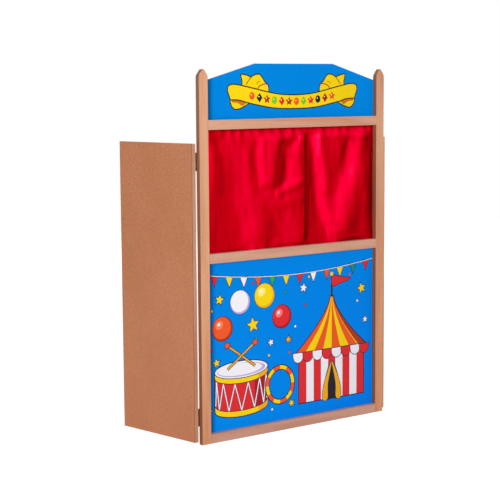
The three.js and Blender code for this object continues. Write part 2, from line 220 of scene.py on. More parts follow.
def fibreboard_colour(made):
    """Bare hardboard: a fine felt of light and dark fibres over slow clouds."""
    clouds = made.noise((5, 5, 5), detail=3)
    felt = made.noise((190, 190, 190), detail=4, roughness=0.7, distortion=0.8)
    fibres = made.noise((900, 900, 420))
    colour = made.mix(made.ramp(clouds, 0.3, 0.7), FIBRE_MID, FIBRE_WARM)
    colour = made.mix(made.ramp(felt, 0.35, 0.7, 0, 0.6), colour, FIBRE_DARK)
    colour = made.mix(made.ramp(fibres, 0.56, 0.75, 0, 0.45), colour, FIBRE_LIGHT)
    return colour, felt


def fibreboard(name):
    made = Finish(name, BARE_ROUGHNESS, gloss=0.2)
    colour, felt = fibreboard_colour(made)
    lower = made.ramp(made.axis(made.point, "Z"), 0.0, 1.1, 1.0, 0.0)
    colour = made.mix(made.math("MULTIPLY", lower, 0.25), colour, FIBRE_FOOT)
    made.set("Base Color", colour)
    made.bump(felt, 0.0004, 0.35)
    return made.material


BLUE_HEADER = linear(0, 135, 224)
BLUE_UNDER_SILL = linear(0, 133, 228)
BLUE_FOOT_LEFT = linear(0, 143, 244)
BLUE_FOOT_RIGHT = linear(0, 130, 242)
BLUE_CLOUD = linear(0, 90, 180)
BLUE_SPECK = linear(60, 165, 240)
POST_SHADE = linear(0, 4, 20)
POST_SHADE_ENDS = (-0.402, -0.366)


def post_shade(made):
    """How far the soft shade beside the left post covers the sheet."""
    return made.ramp(made.axis(made.point, "X"), *POST_SHADE_ENDS, 0.8, 0)


def painted_sheet(name):
    """Screen-printed blue on the front of a hardboard sheet, whose edges and back are bare; painted light
    lightens its foot, and a painted shadow darkens it beside the left post.
    """
    made = Finish(name, PAINT_ROUGHNESS, gloss=0.03)
    across, height = made.axis(made.point, "X"), made.axis(made.point, "Z")
    # Painted light: the blue is lighter towards the foot, and a little greener at the left.
    foot = made.mix(made.ramp(across, -0.4, 0.4), BLUE_FOOT_LEFT, BLUE_FOOT_RIGHT)
    blue = made.mix(made.ramp(height, 0.03, 0.69, course="LINEAR"), foot, BLUE_UNDER_SILL)
    blue = made.mix(made.ramp(height, 0.75, 1.1), blue, BLUE_HEADER)
    slow = made.noise((2.5, 2.5, 2.5))
    blue = made.mix(made.ramp(slow, 0.3, 0.7, 0, 0.06), blue, BLUE_CLOUD)
    speck = made.noise((700, 700, 700))
    blue = made.mix(made.ramp(speck, 0.62, 0.8, 0, 0.08), blue, BLUE_SPECK)
    # Painted shadow of the left post on the sheet.
    blue = made.mix(post_shade(made), blue, POST_SHADE)
    bare, felt = fibreboard_colour(made)
    front = made.ramp(made.axis(made.normal, "Y"), -0.8, -0.4, 1, 0)
    made.set("Base Color", made.mix(front, bare, blue))
    made.set("Roughness", made.ramp(front, 0, 1, BARE_ROUGHNESS, PAINT_ROUGHNESS))
    peel = made.noise((160, 160, 160), detail=1)
    made.bump(made.mix(front, felt, peel), 0.0003, 0.2)
    return made.material


def steel(name, colour, dull, roughness, metallic):
    made = Finish(name, roughness, metallic)
    cloud = made.noise((60, 60, 60), detail=4)
    speck = made.noise((1400, 1400, 500))
    mixed = made.mix(made.ramp(cloud, 0.35, 0.7), colour, dull)
    made.set("Base Color", made.mix(made.ramp(speck, 0.55, 0.8, 0, 0.4), mixed, dull))
    made.set("Roughness", made.ramp(cloud, 0.3, 0.7, roughness - 0.06, roughness + 0.1))
    made.bump(speck, 0.0001, 0.3)
    return made.material


SATIN_PAINTED_GLARE = linear(255, 26, 92)
SATIN_PAINTED_LIGHT = linear(255, 0, 54)
SATIN_MID = linear(206, 0, 21)
SATIN_SHADE_AND_WEAVE = linear(100, 0, 1)
SATIN_SHEEN = linear(255, 0, 56)
RAIL_SHADE_ENDS = (1.158, 1.18)


def satin(name):
    """Red polyester satin whose colour carries painted light: paler, with a painted pink glare, where the
    cloth faces left and up, and darker as painted shade where it turns away and under the top rail.
    """
    made = Finish(name, roughness=0.4, metallic=0.35, gloss=0.0)
    made.shader.inputs["Specular Tint"].default_value = SATIN_SHEEN
    slow = made.noise((9, 9, 4))
    weft = made.noise((2600, 2600, 160), detail=1)
    warp = made.noise((160, 160, 3200), detail=1)
    weave = made.math("ADD", made.math("MULTIPLY", weft, 0.6), made.math("MULTIPLY", warp, 0.4))
    upward = made.math("MULTIPLY", made.axis(made.normal, "Z"), 0.5)
    turned = made.math("SUBTRACT", made.axis(made.normal, "X"), upward)
    turned = made.math("ADD", turned, made.ramp(slow, 0.3, 0.7, -0.03, 0.03))
    # Painted shade and painted highlight: the colour follows which way the cloth faces.
    colour = made.mix(made.ramp(turned, 0.0, 0.4, course="LINEAR"), SATIN_MID, SATIN_SHADE_AND_WEAVE)
    colour = made.mix(made.ramp(turned, 0.0, -0.28, course="LINEAR"), colour, SATIN_PAINTED_LIGHT)
    colour = made.mix(made.ramp(turned, -0.28, -0.5), colour, SATIN_PAINTED_GLARE)
    # The weave's darker threads.
    colour = made.mix(made.ramp(weave, 0.4, 0.65, 0, 0.1), colour, SATIN_SHADE_AND_WEAVE)
    # Painted shade under the top rail.
    painted_rail_shade = made.ramp(made.axis(made.point, "Z"), *RAIL_SHADE_ENDS, 0, 0.52)
    made.set("Base Color", made.mix(painted_rail_shade, colour, SATIN_SHADE_AND_WEAVE))
    made.set("Roughness", made.ramp(weave, 0.35, 0.65, 0.36, 0.44))
    made.bump(weave, 0.00015, 0.25)
    return made.material


INK_PALE = linear(255, 255, 255)
INK_DIM = linear(60, 40, 20)


def printed_ink(name):
    """Flat printed inks, each facet's colour held in the mesh, with a painted shadow of the left post over
    them.
    """
    made = Finish(name, PAINT_ROUGHNESS, gloss=0.07)
    ink = made.node("Attribute", attribute_name="ink", attribute_type="GEOMETRY")
    grain = made.noise((900, 900, 900))
    ink = made.mix(made.ramp(grain, 0.5, 0.8, 0, 0.07), ink, INK_PALE)
    right_hand = made.ramp(made.axis(made.point, "X"), -0.1, 0.35, 0, 0.1)
    ink = made.mix(right_hand, ink, INK_DIM)
    # Painted shadow of the left post over the inks.
    made.set("Base Color", made.mix(post_shade(made), ink, POST_SHADE))
    made.bump(made.noise((160, 160, 160), detail=1), 0.0002, 0.2)
    return made.material


def thread(name):
    made = Finish(name, roughness=0.6)
    twist = made.noise((2400, 2400, 900), detail=1)
    made.set("Base Color", made.mix(twist, linear(150, 0, 18), linear(206, 20, 40)))
    return made.material


# Meshes


def new_piece(name, vertices, faces, material, body=None):
    mesh = bpy.data.meshes.new(name)
    mesh.from_pydata([tuple(c * MM for c in v) for v in vertices], [], faces)
    mesh.validate()
    mesh.update()
    mesh.materials.append(material)
    piece = linked(name, mesh)
    if body:
        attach(piece, body)
    return piece


# Printed pictures: outlines in millimetres across and up the sheet, later ones over earlier ones

INKS = {
    "navy": (14, 22, 62), "yellow": (252, 215, 0), "amber": (246, 176, 12), "cream": (255, 240, 120),
    "orange": (243, 88, 34), "flame": (255, 128, 84), "rust": (176, 52, 26), "red": (226, 40, 46),
    "crimson": (170, 20, 40), "rose": (255, 120, 110), "white": (246, 244, 250), "lilac": (190, 176, 226),
    "green": (40, 168, 96), "teal": (0, 140, 130), "brown": (128, 60, 22), "black": (26, 26, 40),
    "leaf": (120, 200, 40), "ink": (28, 30, 26), "copper": (214, 116, 16), "peach": (250, 180, 110),
}
OUTLINE = 4.0
PRINT_GAP = 0.25


def ellipse(x, z, across, up, steps=32, tilt=0.0):
    turn = radians(tilt)
    points = []
    for i in range(steps):
        angle = 2 * pi * i / steps
        dx, dz = across * cos(angle), up * sin(angle)
        points.append((x + dx * cos(turn) - dz * sin(turn), z + dx * sin(turn) + dz * cos(turn)))
    return points


def star(x, z, radius, tilt=0.0, inner=0.45):
    arms = 5
    points = []
    for i in range(2 * arms):
        angle = radians(90 + tilt) + pi * i / arms
        reach = radius if i % 2 == 0 else radius * inner
        points.append((x + reach * cos(angle), z + reach * sin(angle)))
    return points


def curve(points, closed=True):
    """A smooth line through the points."""
    count, steps = len(points), 6
    made = []
    for i in range(count if closed else count - 1):
        near = range(i - 1, i + 3)
        a, b, c, d = (points[k % count if closed else min(max(k, 0), count - 1)] for k in near)
        for j in range(steps):
            t = j / steps
            made.append(tuple(
                0.5 * (2 * b[k] + (c[k] - a[k]) * t + (2 * a[k] - 5 * b[k] + 4 * c[k] - d[k]) * t * t
                       + (3 * b[k] - 3 * c[k] + d[k] - a[k]) * t ** 3)
                for k in (0, 1)
            ))
    return made if closed else made + [points[-1]]


def box(left, foot, right, top):
    return [(left, foot), (right, foot), (right, top), (left, top)]


def signed_area(points):
    return sum(a[0] * b[1] - b[0] * a[1] for a, b in zip(points, points[1:] + points[:1])) / 2


def wider(points, by):
    """The outline moved outwards by that much, with its sharp corners blunted."""
    facing = 1 if signed_area(points) > 0 else -1
    made = []
    for before, here, after in zip(points[-1:] + points[:-1], points, points[1:] + points[:1]):
        one = Vector(here) - Vector(before)
        two = Vector(after) - Vector(here)
        if one.length < 1e-6 or two.length < 1e-6:
            continue
        one, two = one.normalized(), two.normalized()
        out_one, out_two = Vector((one.y, -one.x)) * facing, Vector((two.y, -two.x)) * facing
        middle = out_one + out_two
        if middle.length < 0.7:
            made += [tuple(Vector(here) + out_one * by), tuple(Vector(here) + out_two * by)]
        else:
            made.append(tuple(Vector(here) + middle * (2 * by / middle.length_squared)))
    return made


def stroke(points, width):
    """A line of that width along the points."""
    left, right = [], []
    for i, here in enumerate(points):
        along = Vector(points[min(i + 1, len(points) - 1)]) - Vector(points[max(i - 1, 0)])
        across = Vector((-along.y, along.x)).normalized() * width / 2
        left.append(tuple(Vector(here) + across))
        right.append(tuple(Vector(here) - across))
    return left + right[::-1]


class Picture:
    def __init__(self):
        self.shapes = []

    def fill(self, points, ink):
        self.shapes.append((points, ink))

    def outlined(self, points, ink, line=OUTLINE, dark="navy"):
        self.fill(wider(points, line), dark)
        self.fill(points, ink)

    def line(self, points, ink, width):
        self.fill(stroke(points, width), ink)

    def printed(self, name, material):
        """Cuts the outlines into one flat mesh, each facet in the uppermost ink."""
        vertices, faces = [], []
        for points, _ in self.shapes:
            ordered = points if signed_area(points) > 0 else points[::-1]
            faces.append(list(range(len(vertices), len(vertices) + len(ordered))))
            vertices += [Vector(p) for p in ordered]
        cut = delaunay_2d_cdt(vertices, [], faces, 1, 1e-4, True)
        kept = [(f, max(owners)) for f, owners in zip(cut[2], cut[5]) if owners]
        kept = [(f, top) for f, top in kept if self.shapes[top][1]]
        y = BACK_FACE - PRINT_GAP
        piece = new_piece(name, [(p.x, y, p.y) for p in cut[0]], [f for f, _ in kept], material, "frame")
        colours = piece.data.attributes.new("ink", "FLOAT_COLOR", "CORNER")
        values = []
        for f, top in kept:
            values += linear(*INKS[self.shapes[top][1]]) * len(f)
        colours.data.foreach_set("color", values)
        return piece


RIBBON_MIDDLE = 9.0
RIBBON_LINE = 4.6
MARK_PITCH, MARK_SHIFT = 35.5, -8
MARK_LEVEL, MARK_RISE = 1277.5, 0.00055


def mirrored(points, side):
    return [(RIBBON_MIDDLE + side * x, z) for x, z in points]


def header_ribbon(material):
    """A yellow scroll ribbon, its ends folded behind, with a row of plain marks along it."""
    ribbon = Picture()
    band_top = [(0, 1300), (70, 1303.5), (132, 1313), (218, 1331), (272, 1341)]
    band_foot = [(0, 1252), (70, 1253.5), (132, 1260), (222, 1277), (262, 1287), (300, 1289)]
    tail_far = [(246, 1330), (247, 1342), (247, 1357), (252, 1378), (244, 1379), (226, 1375), (208, 1367),
                (200, 1345), (220, 1328)]
    tail_near = [(214, 1330), (208, 1354), (206, 1368), (194, 1375), (180, 1379), (166, 1378), (154, 1365),
                 (144, 1352), (131, 1342), (127, 1333), (130, 1314), (180, 1318)]
    curl = [(220, 1277), (241, 1263), (272, 1253), (290, 1258), (299, 1272), (300, 1288), (262, 1290)]
    inside = [(228, 1278), (250, 1284), (268, 1289), (284, 1290), (297, 1284), (295, 1277), (272, 1275),
              (250, 1264), (242, 1266)]
    end = [(272, 1341), (292, 1342), (309, 1338), (314, 1325), (310, 1311), (305, 1298), (301, 1288)]
    lines = (
        ([(207, 1369), (219, 1357), (230, 1342)], "brown", 3.2),
        ([(180, 1344), (174, 1351), (163, 1354)], "brown", 2.4),
        ([(178, 1322), (170, 1334), (158, 1341), (142, 1345), (133, 1343)], "rust", 4.2),
    )
    for side in (-1, 1):
        tails = [mirrored(curve(tail), side) for tail in (tail_far, tail_near)]
        for tail in tails:
            ribbon.fill(wider(tail, RIBBON_LINE), "ink")
        for tail in tails:
            ribbon.fill(tail, "yellow")
        for points, ink, width in lines:
            ribbon.line(mirrored(curve(points, closed=False), side), ink, width)
        ribbon.fill(mirrored(ellipse(136, 1339, 6.5, 4.5, 16, 20), side), "peach")
        ribbon.outlined(mirrored(curve(curl), side), "yellow", RIBBON_LINE, "ink")
        ribbon.fill(mirrored(curve(inside), side), "copper")
    half_top = curve(band_top, closed=False) + curve(end, closed=False)[1:]
    half = half_top + curve(band_foot, closed=False)[::-1][1:]
    right, left = mirrored(half, 1), mirrored(half, -1)
    ribbon.outlined(right[:-1] + left[::-1][1:], "yellow", RIBBON_LINE, "ink")
    marks = "orange black rust leaf red rust orange leaf red black crimson orange".split()
    for i, ink in enumerate(marks):
        x = (i - (len(marks) - 1) / 2) * MARK_PITCH + MARK_SHIFT
        z = MARK_LEVEL + MARK_RISE * x * x
        diamond = [(x - 14, z), (x, z - 18), (x + 14, z), (x, z + 18)]
        shapes = (ellipse(x, z, 12.5, 14.5, 20), diamond, star(x, z, 18, inner=0.5))
        ribbon.fill(mirrored(shapes[i % 3], 1), ink)
        ribbon.fill(mirrored(ellipse(x - 3, z + 4, 3, 3, 10), 1), "cream")
    return ribbon.printed("header_ribbon", material)


BALLS = [
    (-340, 428, 47, "orange", "flame", "rust"), (-256, 522, 46, "white", "white", "lilac"),
    (-140, 536, 48, "yellow", "cream", "amber"), (-56, 446, 46, "red", "rose", "crimson"),
]


def ball(picture, x, z, r, ink, shine, shade):
    picture.outlined(ellipse(x, z, r, r), shade, 2.0)
    picture.fill(ellipse(x - 0.07 * r, z + 0.07 * r, 0.9 * r, 0.9 * r), ink)
    picture.fill(ellipse(x - 0.3 * r, z + 0.32 * r, 0.4 * r, 0.34 * r, 20, 40), shine)
    picture.fill(ellipse(x - 0.34 * r, z + 0.38 * r, 0.16 * r, 0.12 * r, 12, 40), "white")


def tent(picture, x, foot):
    """A striped big top with a scalloped edge, a parted door and a pennant."""
    wall, eaves, trim = 168, 196, 15
    wall_top = foot + 190
    wall_head = wall_top + trim
    picture.outlined(box(x - wall, foot, x + wall, wall_head), "white")
    stripes = 9
    for i in range(0, stripes, 2):
        left = x - wall + 2 * wall * i / stripes
        right = x - wall + 2 * wall * (i + 1) / stripes
        picture.fill(box(left, foot, right, wall_head), "red")
    doorway = [(x - 44, foot), (x - 36, foot + 70), (x, foot + 150), (x + 36, foot + 70), (x + 44, foot),
               (x, foot - 1)]
    picture.outlined(curve(doorway), "black", 3)
    for side in (-1, 1):
        flap = [(x + side * 46, foot), (x + side * 40, foot + 62), (x, foot + 152),
                (x + side * 20, foot + 60), (x + side * 22, foot)]
        picture.outlined(curve(flap), "amber", 2.5)
    height = 225
    levels = [i / 10 for i in range(11)]

    def seam(share):
        """A line up the roof, hollow like hung canvas: -1 is its left edge and 1 its right one."""
        return [(x + share * (eaves * (1 - s) ** 1.45 + 6 * s), wall_top + height * s) for s in levels]

    picture.outlined(seam(1) + seam(-1)[::-1], "yellow")
    gores = 8
    for i in range(0, gores, 2):
        picture.fill(seam(2 * (i + 1) / gores - 1) + seam(2 * i / gores - 1)[::-1], "orange")
    picture.fill(seam(1) + seam(0.78)[::-1], "rust")
    scallops = 8
    for i in range(scallops):
        centre = x - eaves + 2 * eaves * (i + 0.5) / scallops
        reach = eaves / scallops
        turns = [pi * k / 10 for k in range(11)]
        lower = [(centre + reach * cos(turn), wall_top - 26 * sin(turn)) for turn in turns]
        ink = "red" if i % 2 else "white"
        picture.outlined(lower + [(centre - reach, wall_top + 12), (centre + reach, wall_top + 12)], ink, 3)
    top = wall_top + height
    picture.fill(box(x - 4, top - 4, x + 4, top + 84), "navy")
    pennant = [(x + 4, top + 82), (x + 40, top + 74), (x + 96, top + 62), (x + 44, top + 48),
               (x + 4, top + 40)]
    picture.outlined(curve(pennant), "red", 3)
    picture.fill(ellipse(x, top + 88, 8, 8, 16), "yellow")


def drum(picture, x, foot):
    """A side drum with a zigzag cord and two sticks on its head."""
    half, height, dip = 124, 150, 32
    top = foot + height

    def arc(level, start, end, steps=16):
        turns = [radians(start + (end - start) * k / steps) for k in range(steps + 1)]
        return [(x + half * cos(turn), level + dip * sin(turn)) for turn in turns]

    picture.outlined(arc(foot, 180, 360) + arc(top, 0, 180), "red")
    picture.fill(arc(foot, 300, 360) + [(x + half, top), (x + half * 0.5, top)], "crimson")
    cord = []
    zigs = 6
    for k in range(2 * zigs + 1):
        turn = pi * k / (2 * zigs)
        across, drop = -cos(turn), dip * sin(turn)
        cord.append((x + half * across * 0.98, (top - 24 if k % 2 else foot + 22) - drop))
    for ink, width in (("navy", 8), ("white", 4.5)):
        for leg in zip(cord, cord[1:]):
            picture.line(leg, ink, width)
    for level in (foot, top - 20):
        rim = arc(level, 180, 360) + arc(level + 20, 360, 180)
        picture.outlined(rim, "yellow", 3)
        picture.fill(arc(level, 310, 350, 8) + arc(level + 20, 350, 310, 8), "amber")
    picture.outlined(ellipse(x, top, half, dip), "white", 3)
    picture.fill(ellipse(x, top - 1, half - 10, dip - 6), "lilac")
    picture.fill(ellipse(x - 6, top + 1, half - 20, dip - 9), "white")
    for side in (-1, 1):
        stick = [(x - side * 66, top + 6), (x + side * 62, top + 96)]
        picture.line(stick, "navy", 12)
        picture.line(stick, "amber", 6.5)
        picture.outlined(ellipse(x + side * 66, top + 99, 11, 11, 20), "orange", 3)


def bunting(picture):
    """A slack string of flags from side to side under the sill."""
    reach = 430

    def string_z(x):
        return 640 - 34 * (1 - (x / reach) ** 2)

    string = [(x, string_z(x)) for x in range(-reach, reach + 1, 20)]
    inks = "red yellow white orange green yellow red white orange yellow teal red".split()
    for i, ink in enumerate(inks):
        x = -374 + i * 68
        z = string_z(x)
        picture.outlined([(x - 17, z + 1), (x, z - 38), (x + 17, z + 1)], ink, 2.5)
    picture.line(string, "navy", 5)
    picture.line(string, "white", 2.5)


def panel_picture(material):
    """A fairground scene: a big top, a drum, balls, a hoop, bunting and stars."""
    picture = Picture()
    bunting(picture)
    for x, z, radius, ink, tilt in (
        (-368, 300, 17, "yellow", 10), (-352, 540, 20, "yellow", -12), (-196, 428, 30, "yellow", 8),
        (352, 520, 22, "yellow", 14), (52, 548, 19, "white", -8), (-110, 350, 15, "white", 20),
        (372, 390, 14, "white", 0), (-24, 352, 15, "amber", 0), (-10, 96, 15, "yellow", 18),
    ):
        picture.outlined(star(x, z, radius, tilt), ink, 2.5)
    tent(picture, 196, 88)
    drum(picture, -252, 112)
    for row in BALLS:
        ball(picture, *row)
    hoop, across, up = (-66, 178), 70, 76
    picture.outlined(ellipse(*hoop, across, up, 44), "orange")
    for start in range(0, 360, 60):
        turns = [radians(start + part) for part in (0, 10, 20, 30)]
        wedge = [(hoop[0] + across * cos(turn), hoop[1] + up * sin(turn)) for turn in turns]
        picture.fill([hoop, *wedge], "yellow")
    picture.fill(ellipse(*hoop, 55, 61, 44), "navy")
    picture.fill(ellipse(*hoop, 51, 57, 44), None)
    for x, z, ink in (
        (-392, 350, "red"), (-180, 372, "green"), (-120, 300, "yellow"), (-20, 300, "orange"),
        (330, 470, "white"), (80, 590, "yellow"), (290, 580, "orange"), (10, 400, "white"),
        (-40, 540, "green"), (-388, 500, "yellow"), (-196, 590, "red"), (-106, 84, "white"),
        (-396, 120, "yellow"), (60, 480, "red"),
    ):
        picture.outlined(ellipse(x, z, 5, 5, 12), ink, 1.6)
    return picture.printed("lower_panel_print", material)


# Screws and panel pins


def linked_form(name, form):
    mesh = bpy.data.meshes.new(name)
    form.to_mesh(mesh)
    form.free()
    return linked(name, mesh)


def screw_head(radius, rise):
    """A raised countersunk head with a cross cut into it, facing +Y, as vertices and faces."""
    head = bmesh.new()
    profile = [(0.0, rise), (radius * 0.45, rise * 0.9), (radius * 0.8, rise * 0.5), (radius, 0.0),
               (radius * 0.9, -0.25), (0.0, -0.25)]
    ring = [head.verts.new((r, y, 0)) for r, y in profile]
    edges = [head.edges.new(pair) for pair in zip(ring, ring[1:])]
    bmesh.ops.spin(head, geom=ring + edges, cent=(0, 0, 0), axis=(0, 1, 0), angle=2 * pi, steps=20)
    bmesh.ops.remove_doubles(head, verts=head.verts, dist=1e-4)
    bmesh.ops.recalc_face_normals(head, faces=head.faces)
    body = linked_form("screw", head)
    cross = bmesh.new()
    for angle in (0, pi / 2):
        turn = Matrix.Rotation(angle, 4, "Y")
        size = Matrix.Diagonal((radius * 1.15, rise * 1.6, radius * 0.24, 1))
        bmesh.ops.create_cube(cross, size=1, matrix=turn @ Matrix.Translation((0, rise, 0)) @ size)
    cutter = linked_form("cutter", cross)
    cut = body.modifiers.new("cut", "BOOLEAN")
    cut.operation, cut.object, cut.solver, cut.use_self = "DIFFERENCE", cutter, "EXACT", True
    shaped = bpy.data.meshes.new_from_object(body.evaluated_get(bpy.context.evaluated_depsgraph_get()))
    made = [v.co.copy() for v in shaped.vertices], [list(p.vertices) for p in shaped.polygons]
    for item in (body, cutter):
        bpy.data.objects.remove(item)
    return made


def repeated(name, form, places, material, body):
    """Copies of a small form, each at a place (point, turn about Z, spin about its own axis)."""
    vertices, faces = [], []
    for point, turn, spin in places:
        move = Matrix.Translation(point) @ Matrix.Rotation(turn, 4, "Z") @ Matrix.Rotation(spin, 4, "Y")
        start = len(vertices)
        vertices += [tuple(move @ v) for v in form[0]]
        faces += [[start + i for i in face] for face in form[1]]
    return new_piece(name, vertices, faces, material, body)


SCREW_RADIUS, SCREW_RISE = 3.3, 0.55
LEAF_MIDDLE = 13.8
LEAF_FACE = 3.5


def hinge_screws(form, material):
    pitch = HINGE_HEIGHT / 3
    heights = [middle + (i - 1) * pitch for middle in HINGE_MIDDLES for i in range(3)]
    rows = [(Vector((0, 0, z)), radians(37 * i % 90)) for i, z in enumerate(heights)]
    posts = []
    for side, name in ((-1, "left"), (1, "right")):
        pin = Vector((side * PIN_X, PIN_Y, 0))
        leaf = Vector((-side * LEAF_MIDDLE, -LEAF_FACE, 0))
        posts += [(pin + leaf + up, 0, spin) for up, spin in rows]
        turn = -side * WING_TURN
        leaf = Matrix.Rotation(turn, 4, "Z") @ Vector((-side * LEAF_MIDDLE, LEAF_FACE, 0))
        places = [(pin + leaf + up, turn + pi, spin) for up, spin in rows]
        repeated(f"{name}_wing_hinge_screws", form, places, material, f"{name}_wing")
    repeated("post_hinge_screws", form, posts, material, "frame")


BRACKET_X = 433.0
BRACKET_FACE = 13.0
BRACKET_REACH = 12.0


def bracket_screws(form, material):
    places = []
    for side in (-1, 1):
        for end in (-1, 1):
            point = Vector((side * BRACKET_X, BRACKET_FACE, ROD_Z + end * BRACKET_REACH))
            places.append((point, 0, radians(20 + 30 * end)))
    repeated("bracket_screws", form, places, material, "frame")


def pin_head():
    """A low domed nail head facing +Y, as vertices and faces."""
    radius, rise, sunk, steps = 1.7, 0.6, -0.1, 12
    rows = [(radius, sunk), (radius, 0.2), (radius * 0.7, rise * 0.85)]
    turns = [2 * pi * k / steps for k in range(steps)]
    vertices = [Vector((r * cos(turn), y, r * sin(turn))) for r, y in rows for turn in turns]
    vertices += [Vector((0, rise, 0)), Vector((0, sunk, 0))]
    sides = [(k, (k + 1) % steps) for k in range(steps)]
    faces = [[low + a, low + a + steps, low + b + steps, low + b] for low in (0, steps) for a, b in sides]
    last, tip, seat = 2 * steps, 3 * steps, 3 * steps + 1
    faces += [[last + a, tip, last + b] for a, b in sides]
    faces += [[b, seat, a] for a, b in sides]
    return vertices, faces


PIN_ROWS = (29.5, 689, 1207.5)
PIN_ROW_PLACES = range(-360, 361, 120)
PIN_COLUMN = 417
PIN_COLUMN_PLACES = (70, 176, 282, 388, 494, 600, 662, 1228, 1276, 1324)


def panel_pins(material):
    """Nails through the sheets' margins into the laths."""
    places = [(x, z) for z in PIN_ROWS for x in PIN_ROW_PLACES]
    places += [(side * PIN_COLUMN, z) for side in (-1, 1) for z in PIN_COLUMN_PLACES]
    points = [(Vector((x, SHEET_BACK, z)), 0, 0) for x, z in places]
    repeated("sheet_pins", pin_head(), points, material, "frame")


# Curtains

# How far the middle of the cloth may come forward in the open, and how far it may go back
CLOTH_FRONT, CLOTH_BACK = -9.0, 20.3
RAIL_CLEARANCE = 1.0
CLOTH_HALF, PLY_GAP = 0.35, 0.12
PLY_SIDES = {"front": -1, "fold": 0, "back": 1}
POCKET_RADIUS = 5.0
POCKET_FOOT = ROD_Z - POCKET_RADIUS
HEM_Z, HEM_TURN = 703.0, 18.0
HEAD_Z = 1195.6
POST_TUCK = 8.0
MEETING, LAP, POCKET_GAP = 41.0, 17.0, 2.0
# How the cloth eases from its tucked depth to its open one; -1 is the left curtain, 1 the right
TUCKED_REACH = {-1: 8.0, 1: 6.0}
BILLOW_RUNS = {-1: 50.0, 1: 42.0}
STATIONS = {-1: 230, 1: 190}
SILL_RUN, SIDE_RUN, GATHER_RUN, LAP_RUN = 14.0, 18.0, 46.0, 9.0
UNLAPPED_RUN, BESIDE_LAP, PLEAT_RUN = 30.0, 40.0, 16.0
LAP_PARTING = 1.6
POCKET_SWELL, LEAST_PLEAT, MOST_PLEAT = 0.25, -0.6, 1.2
REACH_WIDTHS = 3
# Slow and fine ripples: how deep, then how many to the millimetre across and up
RIPPLES = ((1.6, 0.016, 0.006), (0.5, 0.045, 0.02))

# Heights that the folds are given at, from the rail to the sill
LEVELS = (1150.0, 1075.0, 980.0, 937.0, 895.0, 810.0, 770.0, 724.0)
# Each fold: where it is across the stage at each height, then how far forward in millimetres
LEFT_FOLDS = (
    ((-418,) * 8, (4, 4, 5, 5, 6, 7, 7, 7)),
    ((-404,) * 8, (4, 5.5, 7.5, 8, 9, 9.5, 9.5, 9.5)),
    ((-384, -376, -384, -384, -384, -384, -384, -384), (4.5, 9, 8, 7.5, 8, 8.5, 8.5, 8.5)),
    ((-346, -326, -310, -302, -284, -256, -252, -246), (1.2, 4.2, 2.5, 1.5, 1.5, 1, 1, 1.5)),
    ((-250, -250, -248, -243, -238, -214, -213, -212), (7, 7.5, 4.5, 5, 7, 6.5, 5, 3.5)),
    ((-198, -213, -196, -193, -194, -187, -186, -184), (9.5, 11, 9.5, 11, 12, 10.5, 9, 7)),
    ((-180, -186, -172, -173, -178, -170, -169, -166), (9, 9, 10, 11, 13, 12, 11, 7.5)),
    ((-130, -142, -141, -145, -144, -142, -141, -139), (17.5, 18, 17, 11.5, 14.5, 12.8, 11, 8)),
    ((-78, -102, -112, -115, -122, -117, -116, -113), (20.5, 23, 20.7, 13.5, 14.5, 11.6, 9.2, 5)),
    ((-40, -59, -73, -88, -99, -84, -82, -80), (15.5, 17, 16, 12, 14, 9.5, 7.5, 4.2)),
    ((12, -29, -36, -65, -52, -50, -53, -56), (9.5, 11, 10, 11.5, 14.8, 12, 8.5, 3.8)),
    ((27, 2, -6, -23, -15, -15, -18, -23), (11.5, 15.5, 15, 16.5, 17, 16, 12.3, 6)),
    ((34, 22, 37, 28, 26, 18, 29, 39), (14.5, 18.5, 19.5, 18.2, 18.2, 18, 16.8, 10.4)),
    ((49.5,) * 8, (15.5, 17.2, 18, 17.4, 17.2, 17, 16.6, 10)),
)
RIGHT_FOLDS = (
    ((32,) * 8, (12, 15, 15.2, 15.2, 15.2, 15, 14.5, 8)),
    ((49,) * 8, (12, 15, 15.2, 15.2, 15.2, 15, 14.5, 8)),
    ((64, 66, 67, 67, 67, 67, 67, 66), (6.5, 9.7, 9.8, 9.8, 9.8, 9.6, 9.2, 5.4)),
    ((78, 85, 87, 88, 88, 88, 88, 87), (1.9, 4.4, 4.4, 4.2, 4.2, 4, 4.1, 3.4)),
    ((95, 104, 110, 114, 117, 139, 161, 173), (0.3, 0.8, 0.6, 0.4, 0.2, 0, 0, 0.4)),
    ((140, 149, 165, 168, 168, 191, 199, 204), (13, 13.5, 13.5, 13, 9.5, 13.5, 8, 3.5)),
    ((172, 189, 199, 202, 191, 210, 213, 224), (13, 13.5, 11.2, 12, 10.5, 17.5, 13.5, 6.5)),
    ((219, 230, 228, 222, 214, 242, 245, 252), (13.5, 12, 9.5, 12.5, 13, 23.5, 19, 9.5)),
    ((286, 276, 251, 247, 244, 265, 266, 273), (12, 6.5, 11.5, 17, 20.5, 24.5, 20, 11)),
    ((349, 338, 320, 305, 293, 295, 295, 299), (17.5, 17.5, 25.5, 27, 27, 21.5, 17, 11)),
    ((369, 362, 351, 334, 325, 333, 335, 336), (14, 14.5, 24, 26, 25, 16.5, 12.5, 9)),
    ((386, 376, 365, 360, 358, 364, 366, 368), (9.5, 11.8, 21.3, 23, 23, 14.5, 11, 7.5)),
    ((399,) * 8, (6.5, 8, 13.5, 14, 14, 9.5, 8, 6)),
    ((418,) * 8, (3.5, 4, 6.5, 7, 7, 5.5, 5, 4)),
)
